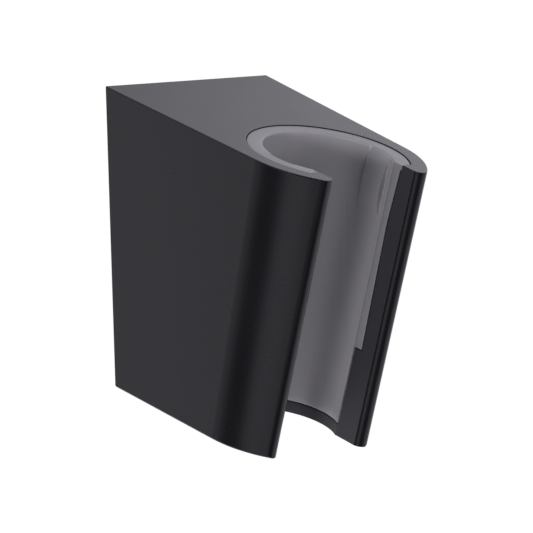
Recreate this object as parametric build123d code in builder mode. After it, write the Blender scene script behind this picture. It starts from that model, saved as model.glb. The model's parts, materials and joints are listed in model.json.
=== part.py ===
from build123d import *
import os
from math import atan2, cos, radians, sin, sqrt, tan

# Hand shower holder: a casing that is screwed to the wall, and a sleeve that sits in it.
# Millimetres and degrees. Wall plane Y = 0, front towards -Y, origin between the two screws.

# Lean and reach of the body
tilt = 15.0  # lean of the bore axis, its top away from the wall
back_height = 58.5  # height of the wall face
axis_reach = 42.9  # from the wall to the bore axis, along the sloping top face
side_angle = 2.0  # each side opens towards the wall
body_draft = 1.7  # the body narrows downwards

# Bore of the sleeve
bore_radius = 12.7  # at the top face
bore_draft = 1.3  # the bore narrows downwards
slot_width = 21.1  # at the top face
slot_draft = 0.45  # each side of the slot leans in downwards

# Walls of the sleeve, measured from the bore
rim_wall = 1.25
neck_wall = 0.9
foot_wall = 1.4
neck_depth = 12.5  # where the thicker rim runs out
rim_round = 0.6

# Flange ring of the sleeve
flange_width = 1.85
flange_thickness = 0.8
flange_sink = 0.3  # the ring lies this far under the top face
flange_bevel = 0.15
ring_lap = 0.3  # the ends of the ring stand this far in front of the sleeve's edge at the slot

# Crowned clamp pads below the rim
pad_angle = 95.0  # middle of each pad, turned from the wall side
pad_arc = 30.0
pad_height = 12.4
pad_crown_depth = 7.2  # depth at which a pad stands highest
pad_crown = 0.75  # how far it stands proud of the bore
pad_dip = 0.5  # how far it drops behind the bore at the rim

# Casing
nose_wall = 3.1  # round the flange ring
lip_round = 1.5
lip_sink = 0.01  # the flank of a lip lies this far under the nose
edge_round = 0.2  # top outline
foot_bevel = 0.3  # bottom outline
side_wall = 2.5
roof_wall = 2.6
floor_wall = 2.6
seat_wall = 2.0  # tube behind the sleeve
hollow_front = 8.0  # the hollow stops this far behind the bore axis
ledge_height = 2.2  # ring under the sleeve
key_depth = 38.0  # below this depth the casing fills the wall beside the slot

# Wall fixing
screw_spacing = 26.0
screw_radius = 2.25
head_radius = 4.6
tower_radius = 6.4
tower_floor = 4.0
web_thickness = 2.0

# Fits
seat_clearance = 0.12  # round the sleeve
end_clearance = 0.2  # under the sleeve, and above and behind the keys
past = 5.0  # how far a cut runs past a face

# Worked out from the sizes above
lean = radians(tilt)
body_length = back_height * cos(lean)
flange_foot = flange_sink + flange_thickness
flange_radius = bore_radius + rim_wall + flange_width
recess_radius = flange_radius + seat_clearance
nose_radius = recess_radius + nose_wall
seat_foot = body_length - ledge_height
sleeve_foot = seat_foot - end_clearance

top_face = Plane(
    origin=(0, -axis_reach * cos(lean), back_height / 2 - axis_reach * sin(lean)),
    x_dir=(1, 0, 0),
    z_dir=(0, -sin(lean), cos(lean)),
)
bore_axis = Axis(top_face.origin, top_face.z_dir)
# Here X is the distance from the axis towards the wall, and Y is minus the depth below the top face.
section = Plane(origin=top_face.origin, x_dir=top_face.y_dir, z_dir=top_face.x_dir)


def bore_at(depth):
    """Radius of the bore at a depth below the top face."""
    return bore_radius - depth * tan(radians(bore_draft))


def half_slot(depth):
    """Half the width of the slot at a depth below the top face."""
    return slot_width / 2 - depth * tan(radians(slot_draft))


def slot_corner(depth):
    """How far in front of the axis the bore meets the side of the slot."""
    return sqrt(max(bore_at(depth) ** 2 - half_slot(depth) ** 2, 0))


def nose_at(depth):
    """Radius of the nose at a depth below the top face."""
    return nose_radius - depth * tan(radians(body_draft))


def lip_middle(depth):
    """Middle of the rounding of the right lip at a depth: it touches the nose and the side of the slot."""
    side = half_slot(depth) + lip_round
    return Vector(side, -sqrt((nose_at(depth) - lip_round) ** 2 - side**2), -depth)


def axis_distance(height):
    """Distance of the bore axis from the wall, at a height above the origin."""
    return (height - top_face.origin.Z) * tan(lean) - top_face.origin.Y


def side_half_width(radius, back):
    """Half the body's width at a distance behind the axis: its sides touch the nose's circle."""
    return (radius + back * sin(radians(side_angle))) / cos(radians(side_angle))


def sleeve_line(gap):
    """Outside of the sleeve from the flange to its foot, grown by a gap."""
    return [
        (bore_at(flange_foot) + rim_wall + gap, -flange_foot),
        (bore_at(neck_depth) + neck_wall + gap, -neck_depth),
        (bore_at(sleeve_foot) + foot_wall + gap, -sleeve_foot),
    ]


def key_outline(gap):
    """Front lower part of the section, where the casing stands in place of the sleeve."""
    deep = body_length + past
    return [
        (-slot_corner(key_depth) - gap, -key_depth - gap),
        (-slot_corner(deep) - gap, -deep),
        (-nose_radius, -deep),
        (-nose_radius, -key_depth - gap),
    ]


def ring_outline(gap):
    """Front upper part of the section, where the casing closes the seat of the ring."""
    sleeve_edge = sqrt((bore_at(flange_foot) + rim_wall) ** 2 - half_slot(flange_foot) ** 2)
    front = -sleeve_edge - ring_lap - gap
    return [(front, past), (front, -flange_foot), (-nose_radius, -flange_foot), (-nose_radius, past)]


# Space that the sleeve takes in the casing, with the bore open right through
with BuildPart() as seat_space:
    seat_line = sleeve_line(seat_clearance)
    with BuildSketch(section):
        with BuildLine():
            Polyline(
                (0, past),
                (recess_radius, past),
                (recess_radius, -flange_foot),
                *seat_line,
                (seat_line[-1][0], -seat_foot),
                (0, -seat_foot),
                close=True,
            )
        make_face()
    revolve(axis=bore_axis)
    with BuildSketch(section):
        with BuildLine():
            Polyline(*key_outline(end_clearance), close=True)
        make_face()
        with BuildLine():
            Polyline(*ring_outline(seat_clearance), close=True)
        make_face()
    extrude(amount=nose_radius, both=True, mode=Mode.SUBTRACT)
    with BuildSketch(section):
        with BuildLine():
            bore_foot = body_length + past
            Polyline((0, 0), (bore_at(0), 0), (bore_at(bore_foot), -bore_foot), (0, -bore_foot), close=True)
        make_face()
    revolve(axis=bore_axis)

# Hollow of the casing, open at the wall, that leaves the seat tube, the screw towers and their web
with BuildPart() as hollow:
    inner_radius = nose_radius - side_wall - roof_wall * tan(radians(body_draft))
    behind_wall = axis_reach + past
    with BuildSketch(top_face.offset(-roof_wall)):
        with BuildLine():
            front = Vector(side_half_width(inner_radius, hollow_front), hollow_front)
            back = Vector(side_half_width(inner_radius, behind_wall), behind_wall)
            Polyline(front, back, (-back.X, back.Y), (-front.X, front.Y), close=True)
        make_face()
    extrude(amount=-(body_length - roof_wall - floor_wall), taper=body_draft)
    tube_line = sleeve_line(seat_clearance + seat_wall)
    with BuildSketch(section):
        with BuildLine():
            Polyline(
                (0, 0),
                (tube_line[0][0], 0),
                *tube_line,
                (tube_line[-1][0], -body_length),
                (0, -body_length),
                close=True,
            )
        make_face()
    revolve(axis=bore_axis, mode=Mode.SUBTRACT)
    with BuildSketch(Plane.XZ.offset(-past)):
        with GridLocations(0, screw_spacing, 1, 2):
            Circle(tower_radius)
        Rectangle(web_thickness, screw_spacing)
    extrude(amount=axis_reach + past, mode=Mode.SUBTRACT)

# Right side of the slot. Its mouth flares along the nose, and the rounded corner between them is a lip.
with BuildPart() as slot_side:
    lip_top, lip_foot = lip_middle(0), lip_middle(body_length)
    upward = top_face.from_local_coords(lip_top) - top_face.from_local_coords(lip_foot)
    flare = atan2(lip_top.X, -lip_top.Y)
    corner = Vector(-lip_round, (lip_sink - lip_round * (1 + sin(flare))) / cos(flare))
    flank_end = corner + nose_radius * Vector(cos(flare), sin(flare))
    past_middle = -lip_top.X - lip_round
    with BuildSketch(Plane(top_face.from_local_coords(lip_top), x_dir=(1, 0, 0), z_dir=upward)) as mouth:
        with BuildLine():
            Polyline(
                (past_middle, -lip_foot.Y),
                (-lip_round, -lip_foot.Y),
                corner,
                flank_end,
                (flank_end.X, -nose_radius),
                (past_middle, -nose_radius),
                close=True,
            )
        make_face()
        fillet(mouth.vertices().sort_by_distance(corner)[0], lip_round)
    extrude(amount=body_length + past, both=True)

with BuildPart() as casing:
    # Body: a round nose and two sides that open towards the wall, drafted along the bore axis
    with BuildSketch(top_face):
        with BuildLine():
            turn = radians(side_angle)
            touch = Vector(nose_radius * cos(turn), -nose_radius * sin(turn))
            back = Vector(side_half_width(nose_radius, behind_wall), behind_wall)
            ThreePointArc((-touch.X, touch.Y), (0, -nose_radius), touch)
            Polyline(touch, back, (-back.X, back.Y), (-touch.X, touch.Y))
        make_face()
    extrude(amount=-body_length, taper=body_draft)
    split(bisect_by=Plane.XZ, keep=Keep.TOP)

    # Softened outline of the bottom and top faces, all but the edge at the wall
    foot_face = casing.faces().filter_by(bore_axis).sort_by(bore_axis)[0]
    chamfer(foot_face.edges().sort_by(Axis.Y)[:-1], foot_bevel)
    roof_face = casing.faces().filter_by(bore_axis).sort_by(bore_axis)[-1]
    fillet(roof_face.edges().sort_by(Axis.Y)[:-1], edge_round)

    # Slot down the front, both sides
    add(slot_side.part, mode=Mode.SUBTRACT)
    mirror(slot_side.part, about=Plane.YZ, mode=Mode.SUBTRACT)

    # Seat of the sleeve, and the hollow behind it
    add(seat_space.part, mode=Mode.SUBTRACT)
    add(hollow.part, mode=Mode.SUBTRACT)

    # Two counterbored screw holes, reached through the slot before the sleeve goes in
    for height in (-screw_spacing / 2, screw_spacing / 2):
        reach = axis_distance(height)
        with Locations(Plane(origin=(0, -reach, height), x_dir=(1, 0, 0), z_dir=(0, -1, 0))):
            CounterBoreHole(screw_radius, head_radius, reach - tower_floor, reach + past)

casing.part.label = "casing"

with BuildPart() as insert:
    # Conical sleeve with its flange ring
    with BuildSketch(section) as sleeve_profile:
        with BuildLine():
            Polyline(
                (bore_at(flange_sink), -flange_sink),
                (flange_radius, -flange_sink),
                (flange_radius, -flange_foot),
                *sleeve_line(0),
                (bore_at(sleeve_foot), -sleeve_foot),
                close=True,
            )
        make_face()
        fillet(sleeve_profile.vertices().group_by(Axis.Y)[-1].sort_by(Axis.X)[0], rim_round)
        chamfer(sleeve_profile.vertices().group_by(Axis.Y)[-1].sort_by(Axis.X)[-1], flange_bevel)
    revolve(axis=bore_axis)

    # Slot in line with the casing's
    with BuildSketch(top_face):
        with Locations((0, -nose_radius / 2)):
            Rectangle(slot_width, nose_radius)
    extrude(amount=-body_length, taper=slot_draft, mode=Mode.SUBTRACT)

    # Clamp pads: a crowned line, turned about the axis, that starts behind the bore at the rim
    rim_point = (bore_at(flange_sink) + pad_dip, -flange_sink)
    crown_point = (bore_at(pad_crown_depth) - pad_crown, -pad_crown_depth)
    foot_point = (bore_at(pad_height), -pad_height)
    inside = bore_at(pad_height) - 2 * pad_crown
    backing = neck_wall / 2
    for start in (pad_angle - pad_arc / 2, -pad_angle - pad_arc / 2):
        outward = top_face.y_dir.rotate(bore_axis, start)
        pad_section = Plane(origin=top_face.origin, x_dir=outward, z_dir=outward.cross(top_face.z_dir))
        with BuildSketch(pad_section):
            with BuildLine():
                ThreePointArc(rim_point, crown_point, foot_point)
                Polyline(foot_point, (inside, -pad_height), (inside, past), (rim_point[0], past), rim_point)
            make_face()
        revolve(axis=bore_axis, revolution_arc=pad_arc, mode=Mode.SUBTRACT)
        with BuildSketch(pad_section):
            with BuildLine():
                ThreePointArc(rim_point, crown_point, foot_point)
                Polyline(
                    foot_point,
                    (foot_point[0] + backing, -pad_height),
                    (rim_point[0] + backing, -flange_sink),
                    rim_point,
                )
            make_face()
        revolve(axis=bore_axis, revolution_arc=pad_arc)

    # Room for the casing's keys beside the lower third of the slot, and the two ends of the ring
    with BuildSketch(section):
        with BuildLine():
            Polyline(*key_outline(0), close=True)
        make_face()
        with BuildLine():
            Polyline(*ring_outline(0), close=True)
        make_face()
    extrude(amount=nose_radius, both=True, mode=Mode.SUBTRACT)

insert.part.label = "insert"

os.makedirs("parts", exist_ok=True)
export_step(casing.part, "parts/casing.step")
export_step(insert.part, "parts/insert.step")
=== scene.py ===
"""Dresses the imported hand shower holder: a satin black casing, a grey sleeve and a white studio.

Everything is in metres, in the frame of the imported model: wall plane Y = 0, front towards -Y, Z up.
"""

import json
import math

import bmesh
import bpy
import numpy as np
from bpy.props import FloatProperty, FloatVectorProperty, PointerProperty
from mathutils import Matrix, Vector


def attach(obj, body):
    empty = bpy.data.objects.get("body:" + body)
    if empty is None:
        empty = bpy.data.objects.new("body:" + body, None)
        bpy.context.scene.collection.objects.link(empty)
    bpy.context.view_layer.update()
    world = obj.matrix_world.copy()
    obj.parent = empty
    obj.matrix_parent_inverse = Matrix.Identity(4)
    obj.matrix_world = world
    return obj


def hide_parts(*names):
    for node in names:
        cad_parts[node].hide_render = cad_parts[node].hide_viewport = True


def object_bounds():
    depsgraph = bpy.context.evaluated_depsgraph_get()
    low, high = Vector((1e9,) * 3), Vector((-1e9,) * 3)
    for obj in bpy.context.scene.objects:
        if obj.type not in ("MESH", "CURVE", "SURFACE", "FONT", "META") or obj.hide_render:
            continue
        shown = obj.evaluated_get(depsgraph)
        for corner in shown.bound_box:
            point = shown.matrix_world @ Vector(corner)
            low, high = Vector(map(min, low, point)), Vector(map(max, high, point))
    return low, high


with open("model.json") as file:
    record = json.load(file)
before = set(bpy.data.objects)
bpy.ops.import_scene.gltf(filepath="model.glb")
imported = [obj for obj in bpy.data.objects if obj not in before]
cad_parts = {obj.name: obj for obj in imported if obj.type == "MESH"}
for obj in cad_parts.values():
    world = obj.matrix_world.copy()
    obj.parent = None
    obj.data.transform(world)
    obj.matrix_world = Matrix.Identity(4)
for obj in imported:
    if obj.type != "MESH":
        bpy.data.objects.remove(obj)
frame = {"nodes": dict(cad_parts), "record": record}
CAD_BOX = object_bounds()

bl_info = {
    "name": "Hand shower holder",
    "version": (1, 0, 0),
    "blender": (4, 5, 0),
    "location": "View3D > Sidebar > Holder",
    "description": "Finishes the casing, builds the sleeve and sets up the studio",
    "category": "Object",
}

# The socket's mount carries the bore's place and lean.
SOCKET = next(mount for mount in frame["record"]["mounts"] if mount["name"] == "handle_socket")
BORE_TOP = np.array(SOCKET["pos_m"])
UP_BORE = np.array(SOCKET["axis"])
ACROSS = np.array([1.0, 0.0, 0.0])
TO_WALL = np.cross(UP_BORE, ACROSS)
BORE_LEAN = math.atan2(-UP_BORE[1], UP_BORE[2])


# Properties


def length(name, description, metres):
    """A length in metres that a user may change."""
    return FloatProperty(
        name=name, description=description, default=metres, unit="LENGTH", precision=5
    )


def angle(name, description, degrees):
    """An angle that a user may change, written in degrees."""
    return FloatProperty(
        name=name, description=description, default=math.radians(degrees), subtype="ANGLE"
    )


def colour(name, description, rgb):
    """A linear colour that a user may change."""
    return FloatVectorProperty(
        name=name, description=description, default=rgb, size=3, subtype="COLOR", min=0.0, max=1.0
    )


def amount(name, description, value, high=1.0):
    """A plain number from nought to high that a user may change."""
    return FloatProperty(
        name=name, description=description, default=value, min=0.0, max=high, subtype="FACTOR"
    )


class HolderSleeveSettings(bpy.types.PropertyGroup):
    """Sizes of the sleeve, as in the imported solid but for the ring's sink and the fine edges."""

    bore_radius: length("Bore radius", "Radius of the bore at the casing's top face", 0.0127)
    bore_draft: angle("Bore draft", "How much the bore narrows downwards", 1.3)
    slot_width: length("Slot width", "Opening between the sleeve's ends, at the top face", 0.0211)
    slot_draft: angle("Slot draft", "How much each side of the slot leans in downwards", 0.45)
    rim_wall: length("Rim wall", "Wall under the flange", 0.00125)
    neck_wall: length("Neck wall", "Wall where the thicker rim runs out", 0.0009)
    foot_wall: length("Foot wall", "Wall at the foot", 0.0014)
    neck_depth: length("Neck depth", "Depth at which the thicker rim runs out", 0.0125)
    rim_round: length("Rim rounding", "Rounding of the bore into the ring", 0.00025)
    flange_width: length("Ring width", "How far the ring stands out from the rim wall", 0.00185)
    flange_thickness: length("Ring thickness", "Thickness of the ring", 0.00096)
    flange_sink: length("Ring sink", "How far the ring lies under the top face", 0.00014)
    flange_bevel: length("Ring bevel", "Bevel of the ring's outer edge", 0.0001)
    ring_lap: length("Ring lap", "How far the ring's ends stand before the slot edge", 0.0003)
    pad_angle: angle("Pad angle", "Middle of each clamp pad, turned from the wall side", 95.0)
    pad_arc: angle("Pad arc", "Width of a clamp pad", 30.0)
    pad_height: length("Pad height", "Depth at which a clamp pad ends", 0.0124)
    pad_crown_depth: length("Crown depth", "Depth at which a clamp pad stands highest", 0.0072)
    pad_crown: length("Crown", "How far a clamp pad stands proud of the bore", 0.00075)
    pad_dip: length("Pad dip", "How far a clamp pad drops behind the bore at the rim", 0.0005)
    pad_edge: length("Pad edge", "Width of the step at the sides of a clamp pad", 0.0004)
    key_depth: length("Key depth", "Below it the casing fills the wall beside the slot", 0.038)
    foot_depth: length("Foot depth", "Depth of the sleeve's foot", 0.0541064)
    slot_ease: length("Slot easing", "Soft edge between the bore and the slot", 0.0003)


class HolderFinishSettings(bpy.types.PropertyGroup):
    """Colours and gloss of the two mouldings."""

    casing_colour: colour("Casing colour", "Black of the casing", (0.0026, 0.0024, 0.0031))
    casing_gloss: amount("Casing gloss", "Specular level of the casing", 0.295)
    # Painted light: a lighter black on the casing's faces in the slot and on its lining, standing in
    # for light that reaches them
    slot_painted_light_colour: colour(
        "Slot colour", "Matt black of the casing's faces in the slot", (0.0147, 0.0140, 0.0170)
    )
    casing_roughness: amount("Casing roughness", "Roughness of the casing's satin skin", 0.27)
    sleeve_colour: colour("Sleeve colour", "Grey of the sleeve", (0.172, 0.167, 0.184))
    sleeve_gloss: amount("Sleeve gloss", "Specular level of the sleeve", 0.39)
    sleeve_roughness: amount("Sleeve roughness", "Roughness of the sleeve", 0.28)
    edge_radius: length("Edge softness", "Radius that lights the casing's crisp edges", 0.0002)


class HolderStageSettings(bpy.types.PropertyGroup):
    """Camera, floor and lights."""

    aim: FloatVectorProperty(
        name="Aim", description="Point that the camera looks at",
        default=(-0.01381, -0.03929, -0.00278), size=3, subtype="XYZ", unit="LENGTH",
    )
    azimuth: angle("Azimuth", "How far the camera stands round to the left", 41.142)
    elevation: angle("Elevation", "How far the camera looks down", 6.414)
    distance: length("Distance", "From the camera to the point that it looks at", 1.1)
    lens: FloatProperty(
        name="Lens", description="Focal length on a 36 mm sensor", default=394.2, unit="CAMERA"
    )
    floor_drop: length("Floor drop", "How far the floor lies below the holder", 1.0)
    floor_colour: colour("Floor colour", "Pale floor", (0.82, 0.82, 0.82))
    floor_lift: amount("Floor lift", "How far the floor is lifted to white under the holder", 0.55)
    floor_far: amount("Far lift", "How far the floor is lifted to white further off", 0.99)
    surround: amount("Surround", "Light that the white surround throws on the holder", 0.03)
    lamps: amount("Lamps", "Level of the soft lights", 1.0, 4.0)


# Soft lights: name, watts, side in metres, azimuth to the left and elevation in degrees
SOFT_LIGHTS = (
    ("key_light", 30.0, 0.5, 66.0, -7.0),
    ("edge_light", 14.0, 0.5, 71.5, -7.0),
    ("near_light", 6.4, 0.3, 37.0, 2.0),
    ("front_light", 7.5, 0.4, 8.0, 0.0),
    ("right_light", 14.5, 0.9, -60.0, 28.0),
    ("back_light", 2.0, 0.9, 180.0, 60.0),
)
LIGHT_REACH = 1.5

# Gaps of the tent: start and end to the left, fades before and after, all in degrees, and depth.
# A depth below nought makes a brighter strip.
TENT_GAPS = (
    (0.0, 42.0, 30.0, 28.0, 1.0),
    (98.5, 119.0, 8.0, 20.0, 1.0),
    (175.0, 215.0, 20.0, 20.0, 0.45),
    (-128.0, -108.0, 12.0, 25.0, -0.24),
)
TENT_COLOUR = (1.0, 0.98, 1.08)
TENT_REACH = 0.5
TENT_FOOT, TENT_TOP = -0.95, 0.6
TENT_TURNS, TENT_LEVELS = 361, 5

FLOOR_REACH, FLOOR_BELL = 20.0, 1.6
FLOOR_LINES = 81
SENSOR_WIDTH = 36.0
CLIP_NEAR, CLIP_FAR = 0.01, 100.0


# Shader maths


class Value:
    """A socket whose arithmetic adds Math nodes to its tree."""

    def __init__(self, tree, socket):
        self.tree = tree
        self.socket = socket

    def _math(self, operation, first, second):
        return self.tree.add("ShaderNodeMath", {"operation": operation}, {0: first, 1: second})

    def __add__(self, other):
        return self._math("ADD", self, other)

    def __radd__(self, other):
        return self._math("ADD", other, self)

    def __sub__(self, other):
        return self._math("SUBTRACT", self, other)

    def __rsub__(self, other):
        return self._math("SUBTRACT", other, self)

    def __mul__(self, other):
        return self._math("MULTIPLY", self, other)

    def __rmul__(self, other):
        return self._math("MULTIPLY", other, self)

    def __or__(self, other):
        return self._math("MAXIMUM", self, other)


class NodeTree:
    """A node tree that is written as expressions: add() makes any node, sets it up and links it."""

    def __init__(self, owner):
        owner.use_nodes = True
        self.tree = owner.node_tree
        self.tree.nodes.clear()

    def add(self, kind, settings=None, inputs=None, output=0):
        """Adds a node, sets its settings, then its sockets, and gives one output as a Value."""
        node = self.tree.nodes.new(kind)
        for name, setting in (settings or {}).items():
            setattr(node, name, setting)
        for name, value in (inputs or {}).items():
            if isinstance(value, Value):
                self.tree.links.new(value.socket, node.inputs[name])
            else:
                node.inputs[name].default_value = value
        return Value(self, node.outputs[output]) if len(node.outputs) else None

    def colour_mix(self, factor, low, high):
        """Mixes two colours by a factor. The node's sockets share names, so they go by number."""
        low, high = (end if isinstance(end, Value) else (*end, 1.0) for end in (low, high))
        return self.add("ShaderNodeMix", {"data_type": "RGBA"}, {0: factor, 6: low, 7: high}, 2)

    def along(self, vector, direction):
        """How far a vector reaches along a direction."""
        return self.add(
            "ShaderNodeVectorMath", {"operation": "DOT_PRODUCT"}, {0: vector, 1: direction}, "Value"
        )

    def rise(self, value, start, end):
        """A smooth step from nought at the start to one at the end."""
        return self.add(
            "ShaderNodeMapRange", {"interpolation_type": "SMOOTHSTEP"},
            {"Value": value, "From Min": start, "From Max": end},
        )

    def root(self, value):
        """The square root of a value."""
        return self.add("ShaderNodeMath", {"operation": "SQRT"}, {0: value})

    def unsigned(self, value):
        """A value without its sign."""
        return self.add("ShaderNodeMath", {"operation": "ABSOLUTE"}, {0: value})


def noise(tree, vector, grain, detail=2.0):
    """Noise from nought to one whose grains are about this long, in metres."""
    return tree.add(
        "ShaderNodeTexNoise", {"noise_dimensions": "3D"},
        {"Vector": vector, "Scale": 1.0 / grain, "Detail": detail, "Roughness": 0.5},
    )


def swing_tone(tree, factor, rgb, swing):
    """A colour that a factor takes from a share darker to as much lighter."""
    dark, light = (tuple(channel * share for channel in rgb) for share in (1 - swing, 1 + swing))
    return tree.colour_mix(factor, dark, light)


# Masks on the mouldings: the start and the end of a smooth step, in metres

SLOT_AHEAD = (-0.004, -0.0045)  # towards the wall from the bore's axis: the slot lies in front
CASING_LINING = (-0.0004, -0.0002)  # inside the bore: the casing's ledge and keys that line it
PAD_SIDE_BAND = (0.0003, 0.0002)  # away from the plane of a pad's side
PAD_SIDE_PROUD = (0.00003, 0.0001)  # inside the bore, where a pad stands proud
RIM_BEHIND = (-0.0005, -0.0003)  # inside the bore: the rounding lies a little behind it
RIM_DEPTH = (0.0007, 0.0005)

# Bands at the sides of the slot: how far they reach into the slot and behind its sides
CASING_SLOT_BAND = (0.0002, 0.000018)
SLEEVE_SLOT_BAND = (0.0002, 0.00012)
CASING_SLOT_LIGHT_SHARE = 0.72  # of the slot's painted light tone in the casing's band; its lining has all of it


def bore_place(tree, place, size):
    """A point's depth, its reach across and towards the wall, and how far inside the bore it is.

    The bore's radius falls by its draft's tangent with the depth.
    """
    depth = float(BORE_TOP @ UP_BORE) - tree.along(place, UP_BORE)
    across = tree.unsigned(tree.along(place, ACROSS))
    back = tree.along(place, TO_WALL) - float(BORE_TOP @ TO_WALL)
    radius = size.bore_radius - math.tan(size.bore_draft) * depth
    return depth, across, back, radius - tree.root(across * across + back * back)


def slot_sides(tree, here, size, into, behind):
    """One on the two flat sides of the slot, from a reach into the slot to one behind them.

    They lie at half the slot's width less its draft's tangent times the depth.
    """
    depth, across, back, _ = here
    out = across + math.tan(size.slot_draft) * depth - size.slot_width / 2
    ahead = tree.rise(back, *SLOT_AHEAD)
    return ahead * tree.rise(out, -into, -into / 2) * tree.rise(out, behind, behind / 2)


def slot_faces(tree, here, size):
    """How much of the slot's painted light and rough skin the casing has: most in its slot and all on
    its lining.
    """
    inside = here[3]
    sides = slot_sides(tree, here, size, *CASING_SLOT_BAND)
    return CASING_SLOT_LIGHT_SHARE * sides | tree.rise(inside, *CASING_LINING)


def pad_side(tree, here, size, turn):
    """One on the side of each clamp pad that is turned by an angle from the pad's middle.

    It lies in the plane through the bore's axis at the angle A of the pad's edge, where the reach
    across times cos A is the same as the reach to the wall times sin A.
    """
    edge = size.pad_angle + turn
    _, across, back, inside = here
    off = tree.unsigned(math.cos(edge) * across - math.sin(edge) * back)
    return tree.rise(off, *PAD_SIDE_BAND) * tree.rise(inside, *PAD_SIDE_PROUD)


def rim_highlight(tree, here):
    """One on the rounding between the bore and the ring, where a highlight is painted."""
    depth, _, _, inside = here
    return tree.rise(inside, *RIM_BEHIND) * tree.rise(depth, *RIM_DEPTH)


# Finishes, with painted shade and painted highlights. Grains are in metres, swings and shares are
# parts of one.

CASING_GRAIN, CASING_FLOW = 0.00022, 0.018
CASING_TONE_SWING, CASING_RELIEF = 0.1, 0.025
CASING_SLOT_ROUGHER, CASING_FLOW_SWING, CASING_GRAIN_SWING = 0.2, 0.04, 0.03
SLEEVE_DRAW, SLEEVE_GRAIN, SLEEVE_FLOW = 0.0006, 0.00016, 0.012
SLEEVE_TONE_SWING, SLEEVE_RELIEF, SLEEVE_SKIN_SWING = 0.04, 0.01, 0.02
DRAW_STRETCH = 0.02  # scale along the bore, which draws its marks out
DRAW_IN_TONE, DRAW_IN_RELIEF = 0.1, 0.4
SHADE_SLOT_EDGE, SHADE_PAD_SIDE = 0.56, 0.6  # painted shade: how far these places go to black
HIGHLIGHT_PAD_SIDE, HIGHLIGHT_RIM = 0.12, 0.03  # painted highlights: how far these places go to white
BLACK, WHITE = (0.0, 0.0, 0.0), (1.0, 1.0, 1.0)
RELIEF_HEIGHT = 0.00002
BEVEL_SAMPLES = 6


def satin_black(finish, size):
    """Satin black moulding: a fine spark-eroded grain, slow changes of gloss, soft edges."""
    material = bpy.data.materials.new("satin_black_moulding")
    tree = NodeTree(material)
    place = tree.add("ShaderNodeTexCoord", output="Object")
    grain = noise(tree, place, CASING_GRAIN)
    flow = noise(tree, place, CASING_FLOW, detail=1.0)
    slot = slot_faces(tree, bore_place(tree, place, size), size)
    skin_tone = swing_tone(tree, flow, finish.casing_colour, CASING_TONE_SWING)
    edges = tree.add(
        "ShaderNodeBevel", {"samples": BEVEL_SAMPLES}, {"Radius": finish.edge_radius}
    )
    relief = tree.add(
        "ShaderNodeBump", None,
        {"Strength": CASING_RELIEF, "Distance": RELIEF_HEIGHT, "Height": grain, "Normal": edges},
    )
    uneven = CASING_FLOW_SWING * (flow - 0.5) + CASING_GRAIN_SWING * (grain - 0.5)
    skin = tree.add(
        "ShaderNodeBsdfPrincipled", None,
        {
            # The slot's lighter colour is painted light
            "Base Color": tree.colour_mix(slot, skin_tone, finish.slot_painted_light_colour),
            "Roughness": finish.casing_roughness + CASING_SLOT_ROUGHER * slot + uneven,
            "Specular IOR Level": finish.casing_gloss,
            "Normal": relief,
        },
    )
    tree.add("ShaderNodeOutputMaterial", None, {"Surface": skin})
    return material


def smooth_grey(finish, size):
    """Smooth grey moulding: faint draw marks along the bore, a slow change of tone, a fine grain.

    Painted shade darkens the sides of the slot and of the pads that face the slot; painted
    highlights lighten the other sides of the pads and the rim.
    """
    material = bpy.data.materials.new("smooth_grey_moulding")
    tree = NodeTree(material)
    place = tree.add("ShaderNodeTexCoord", output="Object")
    along = tree.add(
        "ShaderNodeMapping", None,
        {
            "Vector": place,
            "Rotation": (-BORE_LEAN, 0.0, 0.0),
            "Scale": (1.0, 1.0, DRAW_STRETCH),
        },
    )
    draw = noise(tree, along, SLEEVE_DRAW, detail=1.0)
    grain = noise(tree, place, SLEEVE_GRAIN)
    flow = noise(tree, place, SLEEVE_FLOW, detail=1.0)
    here = bore_place(tree, place, size)
    half_pad = size.pad_arc / 2
    # Painted shade: the sleeve's faces in the slot and the pad sides that face the slot are darkened
    painted_shade = (
        SHADE_SLOT_EDGE * slot_sides(tree, here, size, *SLEEVE_SLOT_BAND)
        | SHADE_PAD_SIDE * pad_side(tree, here, size, half_pad)
    )
    # Painted highlights: the pad sides towards the wall and the rim's rounding are lightened
    bright = (
        HIGHLIGHT_PAD_SIDE * pad_side(tree, here, size, -half_pad)
        | HIGHLIGHT_RIM * rim_highlight(tree, here)
    )
    marks = (1 - DRAW_IN_TONE) * flow + DRAW_IN_TONE * draw
    skin_tone = swing_tone(tree, marks, finish.sleeve_colour, SLEEVE_TONE_SWING)
    highlighted_tone = tree.colour_mix(bright, skin_tone, WHITE)
    relief = tree.add(
        "ShaderNodeBump", None,
        {
            "Strength": SLEEVE_RELIEF,
            "Distance": RELIEF_HEIGHT,
            "Height": DRAW_IN_RELIEF * draw + (1 - DRAW_IN_RELIEF) * grain,
        },
    )
    uneven = SLEEVE_SKIN_SWING * (draw - 0.5) + SLEEVE_SKIN_SWING * (grain - 0.5)
    skin = tree.add(
        "ShaderNodeBsdfPrincipled", None,
        {
            "Base Color": tree.colour_mix(painted_shade, highlighted_tone, BLACK),
            "Roughness": finish.sleeve_roughness + uneven,
            "Specular IOR Level": finish.sleeve_gloss,
            "Normal": relief,
        },
    )
    tree.add("ShaderNodeOutputMaterial", None, {"Surface": skin})
    return material


# Surfaces

MERGE_GAP, SLIVER = 2e-6, 1e-6
CREASE = math.radians(24.0)  # edges that turn by more stay crisp

# Steps of the sleeve's grid: down its rim, pads, wall and keyed foot; round the bore, over the side
# of a pad and over the slot edge
RIM_STEPS, PAD_STEPS, WALL_STEPS, KEY_STEPS = 7, 28, 14, 9
ROUND_STEPS, SIDE_STEPS, EASE_STEPS = 63, 9, 7
UNDER_FLANGE = np.array([0.2, 0.4])  # rings just under the flange, in parts of the rim rounding
KEYED_EASE = 20  # beside the key the easing of the slot edge is divided by this


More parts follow.
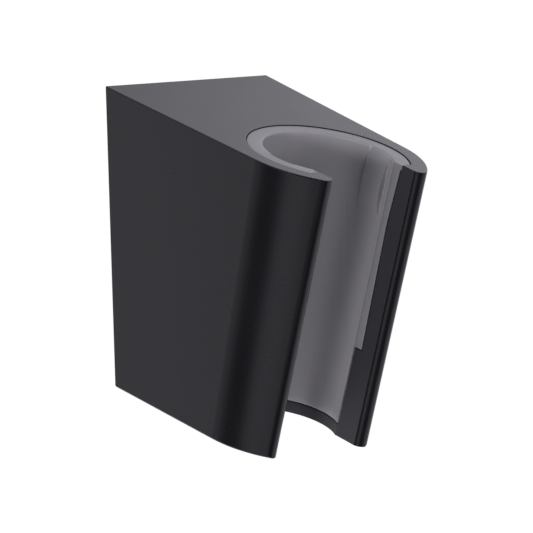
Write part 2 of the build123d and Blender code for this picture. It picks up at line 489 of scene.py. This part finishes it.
def on_bore(across, to_wall, depth):
    """Points from distances in the bore's frame: across, to the wall, down from the top face."""
    return (
        BORE_TOP
        + across[..., None] * ACROSS
        + to_wall[..., None] * TO_WALL
        - depth[..., None] * UP_BORE
    )


def mesh_piece(name, points, faces, material):
    """A closed, outward facing mesh from points and faces, smooth but for its crisp edges."""
    mesh = bpy.data.meshes.new(name)
    mesh.from_pydata(points.reshape(-1, 3).tolist(), [], faces)
    shape = bmesh.new()
    shape.from_mesh(mesh)
    bmesh.ops.remove_doubles(shape, verts=shape.verts, dist=MERGE_GAP)
    bmesh.ops.dissolve_degenerate(shape, edges=shape.edges, dist=SLIVER)
    bmesh.ops.recalc_face_normals(shape, faces=shape.faces)
    gaps = sum(1 for edge in shape.edges if len(edge.link_faces) != 2)
    shape.to_mesh(mesh)
    shape.free()
    if gaps:
        raise RuntimeError(f"{name} has {gaps} open edges")
    mesh.shade_smooth()
    mesh.set_sharp_from_angle(angle=CREASE)
    mesh.materials.append(material)
    piece = bpy.data.objects.new(name, mesh)
    bpy.context.scene.collection.objects.link(piece)
    return piece


def grid_object(name, points, glow):
    """An open sheet of quads from a grid of points, each of which carries a glow."""
    index = np.arange(points.size // 3).reshape(points.shape[:2])
    quads = np.stack([index[:-1, :-1], index[:-1, 1:], index[1:, 1:], index[1:, :-1]], -1)
    mesh = bpy.data.meshes.new(name)
    mesh.from_pydata(points.reshape(-1, 3).tolist(), [], quads.reshape(-1, 4).tolist())
    mesh.attributes.new("glow", "FLOAT", "POINT").data.foreach_set("value", glow.ravel())
    sheet = bpy.data.objects.new(name, mesh)
    bpy.context.scene.collection.objects.link(sheet)
    return sheet


def smooth_step(t):
    """Rises from nought to one as t does, level at both ends: three t squared less two t cubed."""
    t = np.clip(t, 0.0, 1.0)
    return t * t * (3 - 2 * t)


def bore_at(size, depth):
    """Radius of the bore at a depth below the top face: it falls by the draft's tangent."""
    return size.bore_radius - depth * math.tan(size.bore_draft)


def half_slot(size, depth):
    """Half the width of the slot at a depth: each side leans in by the draft's tangent."""
    return size.slot_width / 2 - depth * math.tan(size.slot_draft)


def sleeve_outside(size, depth):
    """Radius of the sleeve's outside: straight from the flange to the neck and on to the foot."""
    flange_foot = size.flange_sink + size.flange_thickness
    depths = [flange_foot, size.neck_depth, size.foot_depth]
    walls = [size.rim_wall, size.neck_wall, size.foot_wall]
    return np.interp(depth, depths, [bore_at(size, d) + w for d, w in zip(depths, walls)])


def pad_line(size, depth):
    """Radius of a clamp pad at a depth: the circle through its dip at the rim, crown and foot."""
    depths = np.array([size.flange_sink, size.pad_crown_depth, size.pad_height])
    radii = bore_at(size, depths) + np.array([size.pad_dip, -size.pad_crown, 0.0])
    # The middle of the circle is as far from each of the three points as from the others.
    rows = 2 * np.stack([np.diff(radii), np.diff(depths)], 1)
    middle = np.linalg.solve(rows, np.diff(radii**2 + depths**2))
    reach = np.hypot(radii[0] - middle[0], depths[0] - middle[1])
    return middle[0] - np.sqrt(np.maximum(reach**2 - (depth - middle[1]) ** 2, 0.0))


def sleeve_mesh(size):
    """Points and faces of the sleeve, a C-shaped wall that is lofted from its rim to its foot.

    A ring of the loft runs along the bore by angle, eases round the slot edge on a quadratic curve,
    crosses the slot face in a straight line and comes back along the outside. Rings lie at depths
    that follow the rim's quarter round inside and the flange outside. Angles are clamped to each
    ring's own ends, so the columns past an end fall together and are merged.
    """
    flange_foot = size.flange_sink + size.flange_thickness
    flange_radius = size.bore_radius + size.rim_wall + size.flange_width
    under_flange = float(sleeve_outside(size, flange_foot))
    ring_front = math.sqrt(under_flange**2 - half_slot(size, flange_foot) ** 2) + size.ring_lap

    # Rings: depth and radius inside, depth and radius outside
    turn = np.radians(np.linspace(90.0, 0.0, RIM_STEPS))
    rim_depth = size.flange_sink + size.rim_round * (1 - np.sin(turn))
    rim_radius = bore_at(size, rim_depth) + size.rim_round * (1 - np.cos(turn))
    bevel, thickness = size.flange_bevel, size.flange_thickness
    edge_depth = size.flange_sink + np.array([0.0, 0.0, bevel, thickness, thickness])
    edge_depth = np.append(edge_depth, flange_foot + UNDER_FLANGE * size.rim_round)
    edge_radius = np.array([
        flange_radius - 2 * bevel, flange_radius - bevel, flange_radius, flange_radius,
        under_flange, under_flange, under_flange,
    ])
    down_pad = np.linspace(edge_depth[-1] + size.rim_round / 4, size.pad_height, PAD_STEPS)
    to_key = np.linspace(size.neck_depth, size.key_depth, WALL_STEPS)
    to_foot = np.linspace(size.key_depth, size.foot_depth, KEY_STEPS)
    plain = np.concatenate([down_pad, to_key, to_foot])
    depth_in = np.concatenate([rim_depth, plain])
    depth_out = np.concatenate([edge_depth, plain])
    radius_in = np.concatenate([rim_radius, bore_at(size, plain)])
    radius_out = np.concatenate([edge_radius, sleeve_outside(size, plain)])
    ring = np.arange(len(depth_in))
    flanged = ring < np.count_nonzero(edge_radius > under_flange)
    padded = ring < RIM_STEPS + PAD_STEPS
    keyed = ring >= RIM_STEPS + PAD_STEPS + WALL_STEPS
    slot_in, slot_out = half_slot(size, depth_in), half_slot(size, depth_out)

    # Where a ring's outside ends: at the slot face, at the flange's end or at the key's face
    slot_corner = np.sqrt(np.maximum(radius_in**2 - slot_in**2, 0.0))
    slot_end = math.pi - np.arcsin(slot_out / radius_out)
    ring_end = math.pi - np.arccos(np.clip(ring_front / radius_out, 0.0, 1.0))
    key_end = math.pi - np.arccos(np.clip(slot_corner / radius_out, 0.0, 1.0))
    ends = np.select([flanged, keyed], [ring_end, key_end], slot_end)

    # Columns: angles from the wall side, closer together at the sides of a pad
    sides = size.pad_angle + np.array([-0.5, 0.5]) * size.pad_arc
    step = size.pad_edge / size.bore_radius / 2
    over_side = step * np.linspace(-1, 1, SIDE_STEPS)
    around = [np.linspace(0.0, ends.max(), ROUND_STEPS), *(side + over_side for side in sides)]
    angles = np.unique(np.concatenate(around))

    # Inside, with the pads, clamped to where the easing of the slot edge starts
    corner = np.arcsin(np.clip(slot_in / radius_in, 0.0, 1.0))
    ease = np.where(keyed, size.slot_ease / KEYED_EASE, size.slot_ease)
    angle_in = np.minimum(angles, (math.pi - corner - ease / radius_in)[:, None])
    window = np.clip((angle_in - sides[0] + step) / (2 * step), 0, 1) * np.clip(
        (sides[1] + step - angle_in) / (2 * step), 0, 1
    )
    window = smooth_step(window) * padded[:, None]
    pad = pad_line(size, np.minimum(depth_in, size.pad_height))
    ring_in = radius_in[:, None] + window * (pad - radius_in)[:, None]
    deep_in = depth_in[:, None] + 0 * angle_in
    inside = on_bore(ring_in * np.sin(angle_in), ring_in * np.cos(angle_in), deep_in)

    # Outside, clamped to its end
    angle_out = np.minimum(angles, ends[:, None])
    ring_out = radius_out[:, None] + 0 * angle_out
    deep_out = depth_out[:, None] + 0 * angle_out
    outside = on_bore(ring_out * np.sin(angle_out), ring_out * np.cos(angle_out), deep_out)

    # Where the flange's end meets the slot face. Under the flange it is the outside's own end.
    flange_corner = on_bore(slot_out, -ring_front + 0 * slot_out, depth_out)
    outer_corner = np.where(flanged[:, None], flange_corner, outside[:, -1])

    # Eased slot edge: a quadratic curve from the bore to the face, its handle on the sharp corner
    handle = on_bore(slot_in, -slot_corner, depth_in)
    toward = outer_corner - handle
    landing = handle + toward * (ease / np.linalg.norm(toward, axis=1))[:, None]
    t = np.linspace(0.0, 1.0, EASE_STEPS)[1:, None]
    start, handle, landing = inside[:, None, -1], handle[:, None], landing[:, None]
    eased = (1 - t) ** 2 * start + 2 * t * (1 - t) * handle + t**2 * landing

    half = np.concatenate([inside, eased, outer_corner[:, None], outside[:, ::-1]], axis=1)
    points = np.stack([half, half * np.array([-1.0, 1.0, 1.0])])

    # Faces: quads of the loft, then the rim and the foot, each a strip and a polygon at the slot
    index = np.arange(points.size // 3).reshape(points.shape[:3])
    quads = [index[:, :-1, :-1], index[:, 1:, :-1], index[:, 1:, 1:], index[:, :-1, 1:]]
    faces = np.stack(quads, -1).reshape(-1, 4).tolist()
    count = len(angles)
    for end in (index[:, 0], index[:, -1]):
        there, back = end[:, :count], end[:, ::-1][:, :count]
        strip = np.stack([there[:, :-1], there[:, 1:], back[:, 1:], back[:, :-1]], -1)
        faces += strip.reshape(-1, 4).tolist()
        faces += end[:, count - 1:end.shape[1] - count + 1].tolist()
    return points, faces


# Operators


class HOLDER_OT_finish_casing(bpy.types.Operator):
    """Give the casing its satin black finish"""

    bl_idname = "holder.finish_casing"
    bl_label = "Finish casing"

    def execute(self, context):
        scene = context.scene
        casing = frame["nodes"]["casing"]
        casing.data.materials.clear()
        casing.data.materials.append(satin_black(scene.holder_finish, scene.holder_sleeve))
        return {"FINISHED"}


class HOLDER_OT_build_sleeve(bpy.types.Operator):
    """Build the sleeve with its ring, pads and eased slot edges, in place of the plain solid"""

    bl_idname = "holder.build_sleeve"
    bl_label = "Build sleeve"

    def execute(self, context):
        scene = context.scene
        points, faces = sleeve_mesh(scene.holder_sleeve)
        skin = smooth_grey(scene.holder_finish, scene.holder_sleeve)
        sleeve = mesh_piece("sleeve", points, faces, skin)
        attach(sleeve, "root")
        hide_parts("insert")
        return {"FINISHED"}


def outward(azimuth, elevation):
    """Direction away from the holder, turned to the left of the front and up."""
    level = math.cos(elevation)
    return Vector((-math.sin(azimuth) * level, -math.cos(azimuth) * level, math.sin(elevation)))


class HOLDER_OT_build_stage(bpy.types.Operator):
    """Set up the camera, the pale floor, the white surround and the soft lights"""

    bl_idname = "holder.build_stage"
    bl_label = "Build stage"

    def execute(self, context):
        stage = context.scene.holder_stage
        self.add_camera(context.scene, stage)
        self.add_surround(context.scene, stage)
        self.add_floor(stage)
        for name, power, side, azimuth, elevation in SOFT_LIGHTS:
            self.add_light(name, power * stage.lamps, side, azimuth, elevation)
        self.add_tent()
        context.scene.view_settings.view_transform = "Standard"
        return {"FINISHED"}

    def add_camera(self, scene, stage):
        """A camera that looks at the aim point, turned by azimuth and elevation."""
        back = outward(stage.azimuth, stage.elevation)
        camera = bpy.data.objects.new("camera", bpy.data.cameras.new("camera"))
        camera.data.lens = stage.lens
        camera.data.sensor_width = SENSOR_WIDTH
        camera.location = Vector(stage.aim) + stage.distance * back
        camera.rotation_euler = (-back).to_track_quat("-Z", "Y").to_euler()
        camera.data.clip_start, camera.data.clip_end = CLIP_NEAR, CLIP_FAR
        scene.collection.objects.link(camera)
        scene.camera = camera

    def seen(self, tree):
        """One for rays from the camera, from gloss and through glass, and nought for the rest."""
        paths = [tree.add("ShaderNodeLightPath", output=name)
                 for name in ("Is Camera Ray", "Is Glossy Ray", "Is Transmission Ray")]
        return paths[0] | paths[1] | paths[2]

    def glow_of(self, tree):
        """The glow that a sheet carries in its points."""
        return tree.add("ShaderNodeAttribute", {"attribute_name": "glow"}, output="Fac")

    def add_surround(self, scene, stage):
        """A white surround: full white where it is seen, softer where it lights."""
        scene.world = bpy.data.worlds.new("white_surround")
        tree = NodeTree(scene.world)
        strength = stage.surround + (1.0 - stage.surround) * self.seen(tree)
        white = tree.add(
            "ShaderNodeBackground", None, {"Color": (*WHITE, 1.0), "Strength": strength}
        )
        tree.add("ShaderNodeOutputWorld", None, {"Surface": white})

    def add_floor(self, stage):
        """A flat pale floor that keeps the shadow and is lifted to white where it is seen.

        The lift rises from its near value to its far one as one less a bell curve of the distance.
        """
        line = FLOOR_REACH * np.linspace(-1.0, 1.0, FLOOR_LINES) ** 3
        across, along = np.meshgrid(line, line)
        bell = np.exp(-(across**2 + along**2) / FLOOR_BELL**2)
        glow = stage.floor_lift + (stage.floor_far - stage.floor_lift) * (1 - bell)
        level = np.full_like(across, CAD_BOX[0].z - stage.floor_drop)
        floor = grid_object("floor", np.stack([across, along, level], -1), glow)
        material = bpy.data.materials.new("pale_floor")
        tree = NodeTree(material)
        matt = tree.add("ShaderNodeBsdfDiffuse", None, {"Color": (*stage.floor_colour, 1.0)})
        strength = self.glow_of(tree) * self.seen(tree)
        lift = tree.add("ShaderNodeEmission", None, {"Strength": strength})
        both = tree.add("ShaderNodeAddShader", None, {0: matt, 1: lift})
        tree.add("ShaderNodeOutputMaterial", None, {"Surface": both})
        floor.data.materials.append(material)

    def add_light(self, name, power, side, azimuth, elevation):
        """A square soft light that faces the holder and never shows as a reflection."""
        back = outward(math.radians(azimuth), math.radians(elevation))
        lamp = bpy.data.lights.new(name, "AREA")
        lamp.energy, lamp.size = power, side
        light = bpy.data.objects.new(name, lamp)
        light.location = Vector(BORE_TOP) + LIGHT_REACH * back
        light.rotation_euler = (-back).to_track_quat("-Z", "Y").to_euler()
        light.visible_glossy = False
        light.visible_camera = False
        bpy.context.scene.collection.objects.link(light)

    def add_tent(self):
        """A bright tent for reflections only: an upright ring whose glow falls off in its gaps.

        In a gap the glow falls by the gap's depth, and a smooth step leads in and out of it.
        """
        turns = np.linspace(-180.0, 180.0, TENT_TURNS)
        turn, level = np.meshgrid(turns, np.linspace(TENT_FOOT, TENT_TOP, TENT_LEVELS))
        glow = np.ones_like(turn)
        for start, end, before, after, depth in TENT_GAPS:
            off = (turn - (start + end) / 2 + 180.0) % 360.0 - 180.0
            past = (np.abs(off) - (end - start) / 2) / np.where(off < 0, before, after)
            glow *= 1 - depth * (1 - smooth_step(past))
        around = np.radians(turn)
        across = -TENT_REACH * np.sin(around)
        forward = BORE_TOP[1] - TENT_REACH * np.cos(around)
        tent = grid_object("tent", np.stack([across, forward, level], -1), glow)
        material = bpy.data.materials.new("tent_cloth")
        tree = NodeTree(material)
        cloth = tree.add(
            "ShaderNodeEmission", None,
            {"Color": (*TENT_COLOUR, 1.0), "Strength": self.glow_of(tree)},
        )
        tree.add("ShaderNodeOutputMaterial", None, {"Surface": cloth})
        tent.data.materials.append(material)
        tent.visible_camera = tent.visible_diffuse = False
        tent.visible_shadow = tent.visible_transmission = False


class HOLDER_PT_sidebar(bpy.types.Panel):
    """The holder's settings and operators"""

    bl_label = "Hand shower holder"
    bl_space_type = "VIEW_3D"
    bl_region_type = "UI"
    bl_category = "Holder"

    def draw(self, context):
        for group, operator in PANEL_ROWS:
            settings = getattr(context.scene, group)
            column = self.layout.column(align=True)
            for name in settings.__annotations__:
                column.prop(settings, name)
            column.operator(operator)


PANEL_ROWS = (
    ("holder_finish", HOLDER_OT_finish_casing.bl_idname),
    ("holder_sleeve", HOLDER_OT_build_sleeve.bl_idname),
    ("holder_stage", HOLDER_OT_build_stage.bl_idname),
)
SETTINGS = {
    "holder_finish": HolderFinishSettings,
    "holder_sleeve": HolderSleeveSettings,
    "holder_stage": HolderStageSettings,
}
CLASSES = (
    *SETTINGS.values(),
    HOLDER_OT_finish_casing,
    HOLDER_OT_build_sleeve,
    HOLDER_OT_build_stage,
    HOLDER_PT_sidebar,
)


def register():
    for cls in CLASSES:
        bpy.utils.register_class(cls)
    for name, group in SETTINGS.items():
        setattr(bpy.types.Scene, name, PointerProperty(type=group))


def unregister():
    for name in SETTINGS:
        delattr(bpy.types.Scene, name)
    for cls in reversed(CLASSES):
        bpy.utils.unregister_class(cls)


def main():
    """Registers the add-on, dresses the holder and sets the stage."""
    register()
    bpy.ops.holder.finish_casing()
    bpy.ops.holder.build_sleeve()
    bpy.ops.holder.build_stage()


if __name__ == "__main__":
    main()
